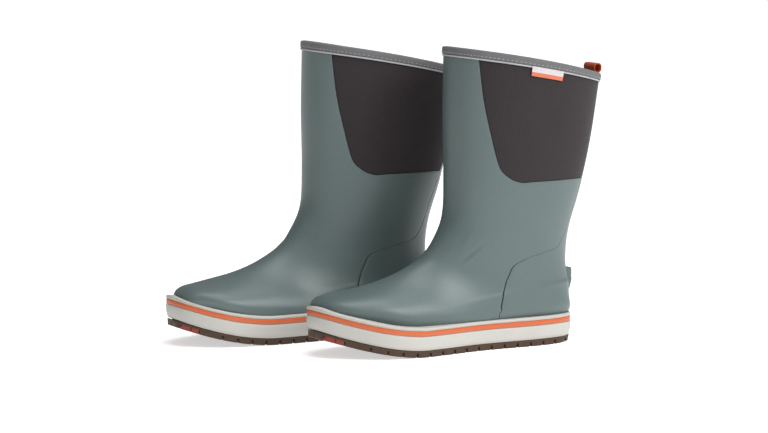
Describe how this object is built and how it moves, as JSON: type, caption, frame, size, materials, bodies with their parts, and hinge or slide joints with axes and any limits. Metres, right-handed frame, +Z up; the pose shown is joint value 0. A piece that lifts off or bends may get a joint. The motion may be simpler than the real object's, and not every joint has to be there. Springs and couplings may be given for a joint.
{
  "type": "deck boots",
  "caption": "Pair of mid-height rubber sailing deck boots with stretch side panels, knit lining, bound collar, heel pull loops, kick tabs and siped non-marking soles.",
  "frame": {"origin": "centre of the bottom of the pair's bounding box, on the floor", "axes": "+Y points from the toes to the heels, +Z up, +X towards the outer side of the left boot"},
  "size_m": [0.2674, 0.4266, 0.313],
  "materials": {
    "rubber": "satin grey-green natural rubber",
    "gore": "charcoal knit-faced neoprene",
    "binding": "grey woven binding tape",
    "welt": "pale grey woven welt",
    "label": "pale woven label with an orange edge",
    "webbing": "orange woven webbing",
    "lining": "grey knit lining",
    "board": "pressed fibre insole board",
    "reinforcement": "stiffened cloth",
    "foam": "dark foam rubber",
    "footbed": "cloth-covered foam",
    "foxing": "off-white matt rubber",
    "stripe": "orange matt rubber",
    "outsole": "dark brown non-marking rubber",
    "inlay": "red rubber"
  },
  "bodies": {
    "left_boot": {"left_upper_front": "rubber", "left_upper_back": "rubber", "left_gore_outer": "gore", "left_gore_inner": "gore", "left_toe_puff": "reinforcement", "left_heel_stiffener": "reinforcement", "left_loop_tail": "webbing", "left_insole_board": "board", "left_lining": "lining", "left_midsole": "foam", "left_foxing_wall": "foxing", "left_foxing_stripe": "stripe", "left_foxing_bead": "foxing", "left_outsole": "outsole", "left_toe_inlay": "inlay", "left_kick_tab": "rubber", "left_collar_binding": "binding", "left_collar_welt": "welt", "left_collar_label": "label"},
    "right_boot": {"right_upper_front": "rubber", "right_upper_back": "rubber", "right_gore_outer": "gore", "right_gore_inner": "gore", "right_toe_puff": "reinforcement", "right_heel_stiffener": "reinforcement", "right_loop_tail": "webbing", "right_insole_board": "board", "right_lining": "lining", "right_midsole": "foam", "right_foxing_wall": "foxing", "right_foxing_stripe": "stripe", "right_foxing_bead": "foxing", "right_outsole": "outsole", "right_toe_inlay": "inlay", "right_kick_tab": "rubber", "right_collar_binding": "binding", "right_collar_welt": "welt", "right_collar_label": "label"},
    "left_loop": {"left_pull_loop": "webbing"},
    "right_loop": {"right_pull_loop": "webbing"},
    "left_insole": {"left_footbed": "footbed"},
    "right_insole": {"right_footbed": "footbed"}
  },
  "joints": [
    {"name": "right_boot_place", "type": "slide", "parent": "left_boot", "child": "right_boot", "axis": [-1, 0, 0], "range_m": [0, 0.3]},
    {"name": "left_loop_fold", "type": "hinge", "parent": "left_boot", "child": "left_loop", "pos_m": [0.07605, 0.2087, 0.2802], "axis": [1, 0, 0], "range_deg": [-25, 15], "stiffness_Nm_per_rad": 0.005},
    {"name": "right_loop_fold", "type": "hinge", "parent": "right_boot", "child": "right_loop", "pos_m": [-0.05803, 0.11958, 0.2802], "axis": [0.9966, -0.0819, 0], "range_deg": [-25, 15], "stiffness_Nm_per_rad": 0.005},
    {"name": "left_footbed_lift", "type": "hinge", "parent": "left_boot", "child": "left_insole", "pos_m": [0.064, -0.10792, 0.042], "axis": [1, 0, 0], "range_deg": [0, 4]},
    {"name": "right_footbed_lift", "type": "hinge", "parent": "right_boot", "child": "right_insole", "pos_m": [-0.07208, -0.19719, 0.042], "axis": [0.9966, -0.0819, 0], "range_deg": [0, 4]}
  ]
}
